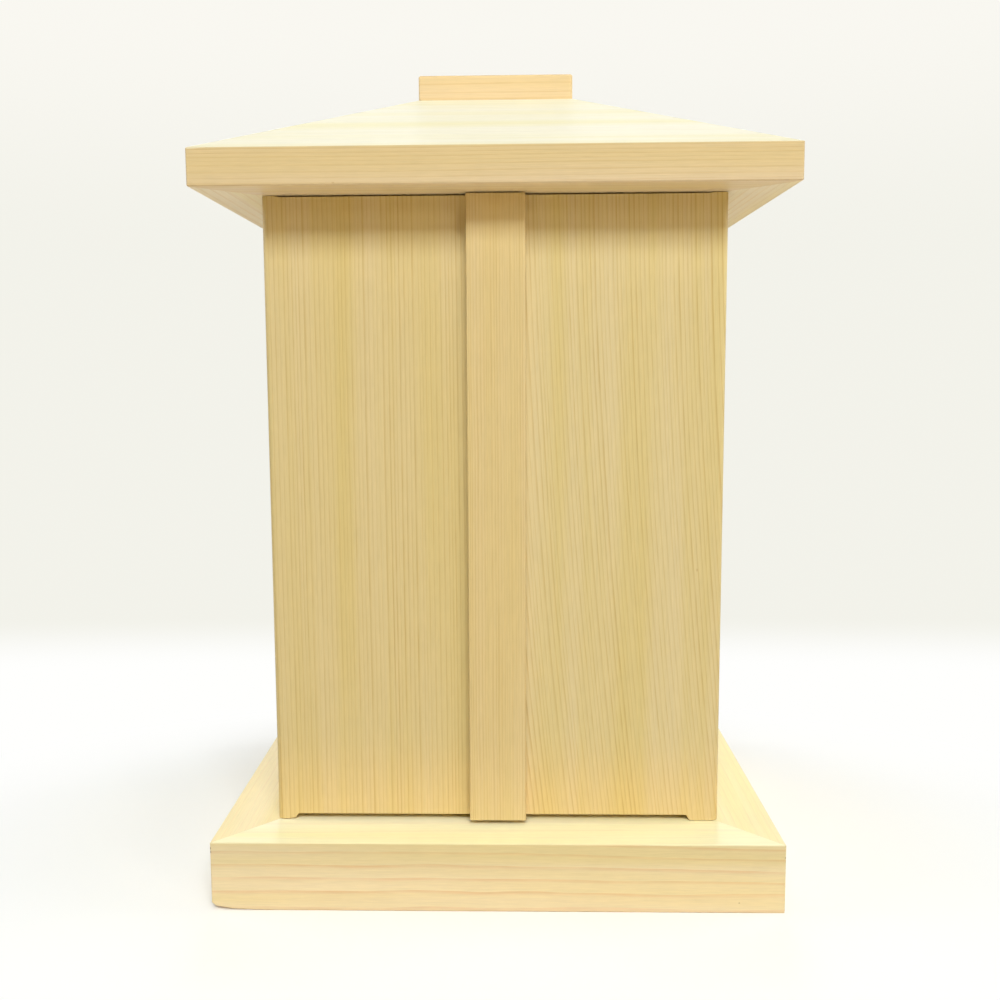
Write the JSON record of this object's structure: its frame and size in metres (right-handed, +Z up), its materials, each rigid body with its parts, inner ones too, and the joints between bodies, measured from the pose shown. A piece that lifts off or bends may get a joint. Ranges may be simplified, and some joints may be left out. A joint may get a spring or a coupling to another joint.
{
  "type": "buddhist shrine cabinet",
  "caption": "Small plain wooden shrine cabinet with a hip roof, a ridge block, pivot-hung double doors with a meeting strip, and a mitred base.",
  "frame": {"origin": "centre of the base frame's underside, on the surface that the cabinet stands on", "axes": "+Z up, the doors face -Y, +X to the right as seen from the front"},
  "size_m": [0.227, 0.195, 0.341],
  "materials": {
    "base_wood": "planed pale softwood, unfinished",
    "body_wood": "planed pale softwood, unfinished",
    "roof_wood": "planed pale softwood, unfinished",
    "ridge_wood": "planed pale softwood, unfinished",
    "door_wood": "planed straight-grained pale softwood, unfinished",
    "strip_wood": "planed pale softwood, unfinished",
    "pin_brass": "turned brass"
  },
  "bodies": {
    "cabinet": {"base_front_rail": "base_wood", "base_right_rail": "base_wood", "base_back_rail": "base_wood", "base_left_rail": "base_wood", "left_side_wall": "body_wood", "right_side_wall": "body_wood", "back_wall": "body_wood", "floor_board": "body_wood", "ceiling_board": "body_wood", "roof_front_slope": "roof_wood", "roof_right_slope": "roof_wood", "roof_back_slope": "roof_wood", "roof_left_slope": "roof_wood", "ridge_block": "ridge_wood"},
    "right_door": {"right_door_leaf": "door_wood", "meeting_strip": "strip_wood", "right_door_bottom_pin": "pin_brass", "right_door_top_pin": "pin_brass"},
    "left_door": {"left_door_leaf": "door_wood", "left_door_bottom_pin": "pin_brass", "left_door_top_pin": "pin_brass"}
  },
  "joints": [
    {"name": "right_door_hinge", "type": "hinge", "parent": "cabinet", "child": "right_door", "pos_m": [0.087, -0.071, 0.028], "axis": [0, 0, 1], "range_deg": [0, 180]},
    {"name": "left_door_hinge", "type": "hinge", "parent": "cabinet", "child": "left_door", "pos_m": [-0.087, -0.071, 0.028], "axis": [0, 0, -1], "range_deg": [0, 180]}
  ],
  "couplings": [
    {"joint": "left_door_hinge", "follows": "right_door_hinge", "ratio": 1}
  ]
}
